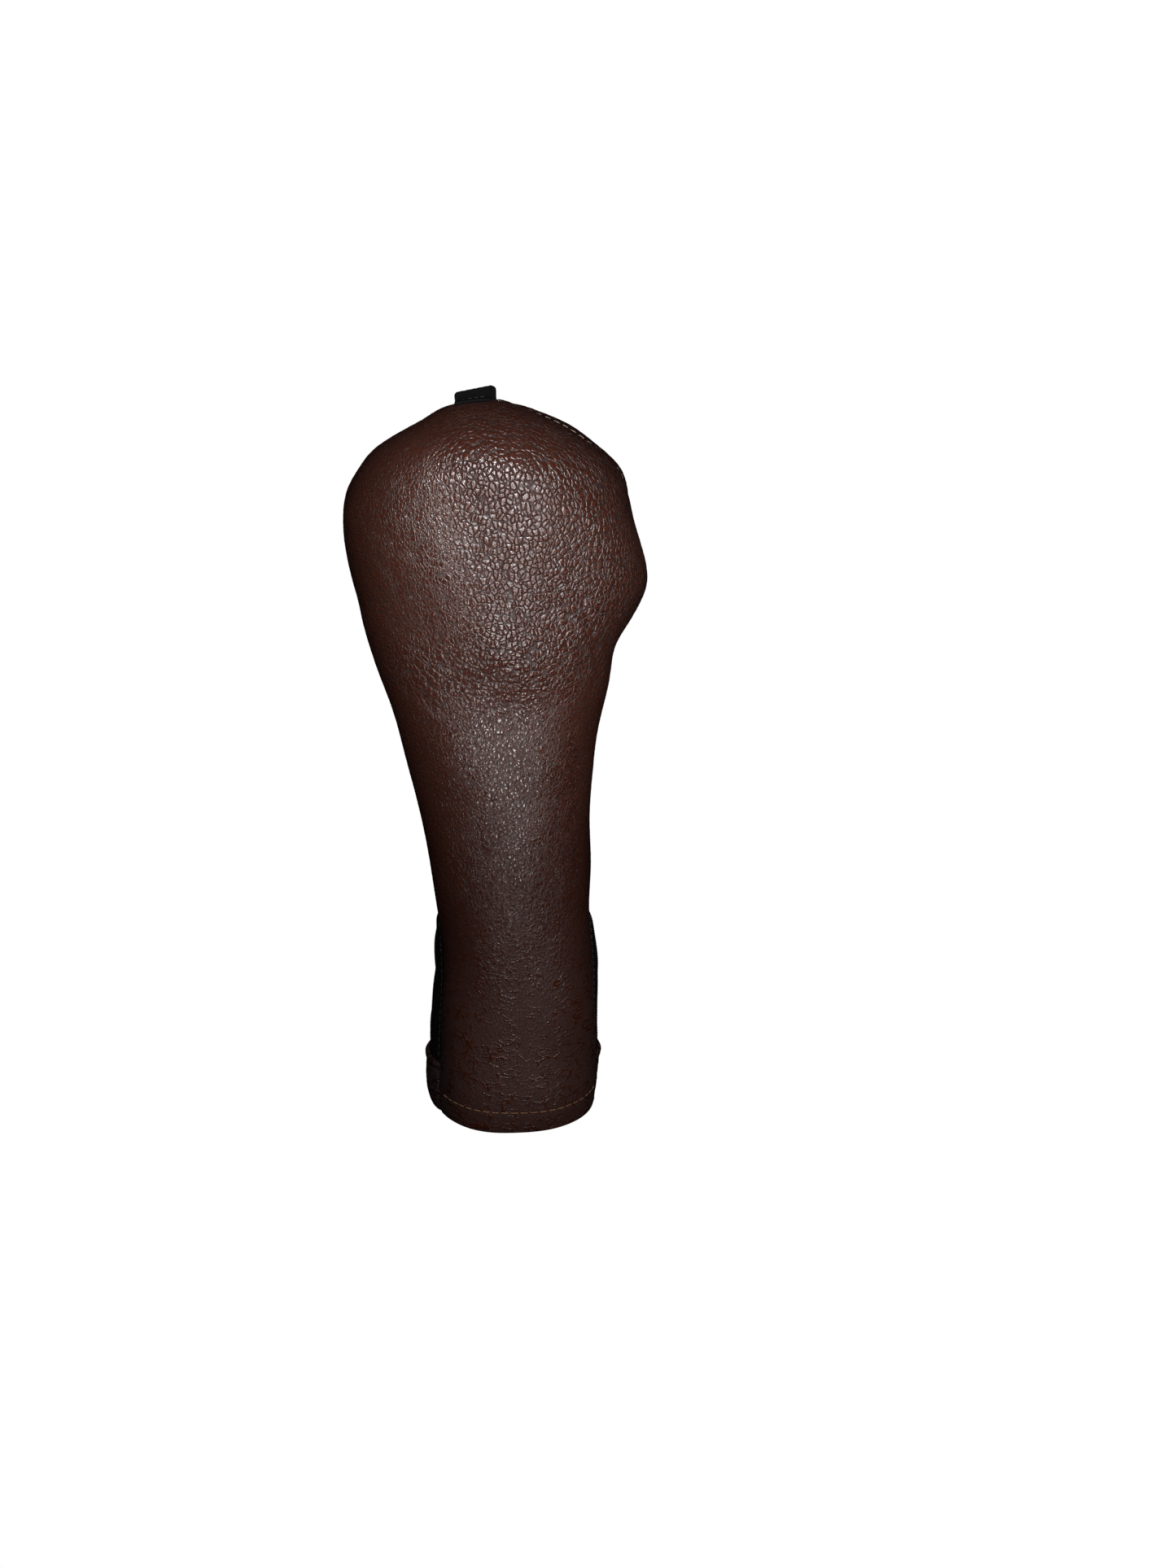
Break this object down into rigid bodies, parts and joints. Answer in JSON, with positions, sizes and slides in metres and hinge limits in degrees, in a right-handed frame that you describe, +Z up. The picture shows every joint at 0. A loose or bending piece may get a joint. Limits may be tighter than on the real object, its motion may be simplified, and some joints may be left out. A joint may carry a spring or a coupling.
{
  "type": "golf driver head cover",
  "caption": "Sewn brown leather golf driver head cover with a rounded padded head, a narrower throat with a black elastic gusset behind it, and a webbing pull tab.",
  "frame": {"origin": "centre of the mouth on the plane that the hem stands on", "axes": "+Z up from the mouth to the crown, -Y out of the front panel, +X to the right as seen from the front"},
  "size_m": [0.138, 0.1098, 0.3466],
  "materials": {
    "leather_front": "pebbled grain, satin",
    "leather_rear": "pebbled grain, satin",
    "leather_facing": "plain, matt",
    "foam": "open-cell foam",
    "fleece": "brushed pile",
    "elastic": "ribbed knit",
    "webbing": "tight weave",
    "thread_pale": "waxed thread",
    "thread_tan": "waxed thread",
    "thread_black": "plain thread",
    "thread_grey": "plain thread"
  },
  "bodies": {
    "shell": {"front_panel": "leather_front", "rear_panel": "leather_rear", "front_padding": "foam", "rear_padding": "foam", "front_lining": "fleece", "rear_lining": "fleece", "hem_facing": "leather_facing", "topstitch_left": "thread_pale", "topstitch_right": "thread_pale", "rear_panel_stitch": "thread_tan", "hem_stitch_front": "thread_tan"},
    "rear_throat": {"elastic_gusset": "elastic", "rear_cuff": "leather_rear", "cuff_facing": "leather_facing", "cuff_top_stitch": "thread_tan", "hem_stitch_rear": "thread_tan", "gusset_edge_stitch_left": "thread_black", "gusset_edge_stitch_right": "thread_black"},
    "tab": {"pull_tab": "webbing", "tab_stitch": "thread_grey"}
  },
  "joints": [
    {"name": "throat_flare", "type": "hinge", "parent": "shell", "child": "rear_throat", "pos_m": [0, 0.0372, 0.098], "axis": [1, 0, 0], "range_deg": [0, 12], "stiffness_Nm_per_rad": 3},
    {"name": "tab_flop", "type": "hinge", "parent": "shell", "child": "tab", "pos_m": [-0.0145, 0, 0.34195], "axis": [0.9903, 0, 0.1392], "range_deg": [-40, 40], "stiffness_Nm_per_rad": 0.003}
  ]
}
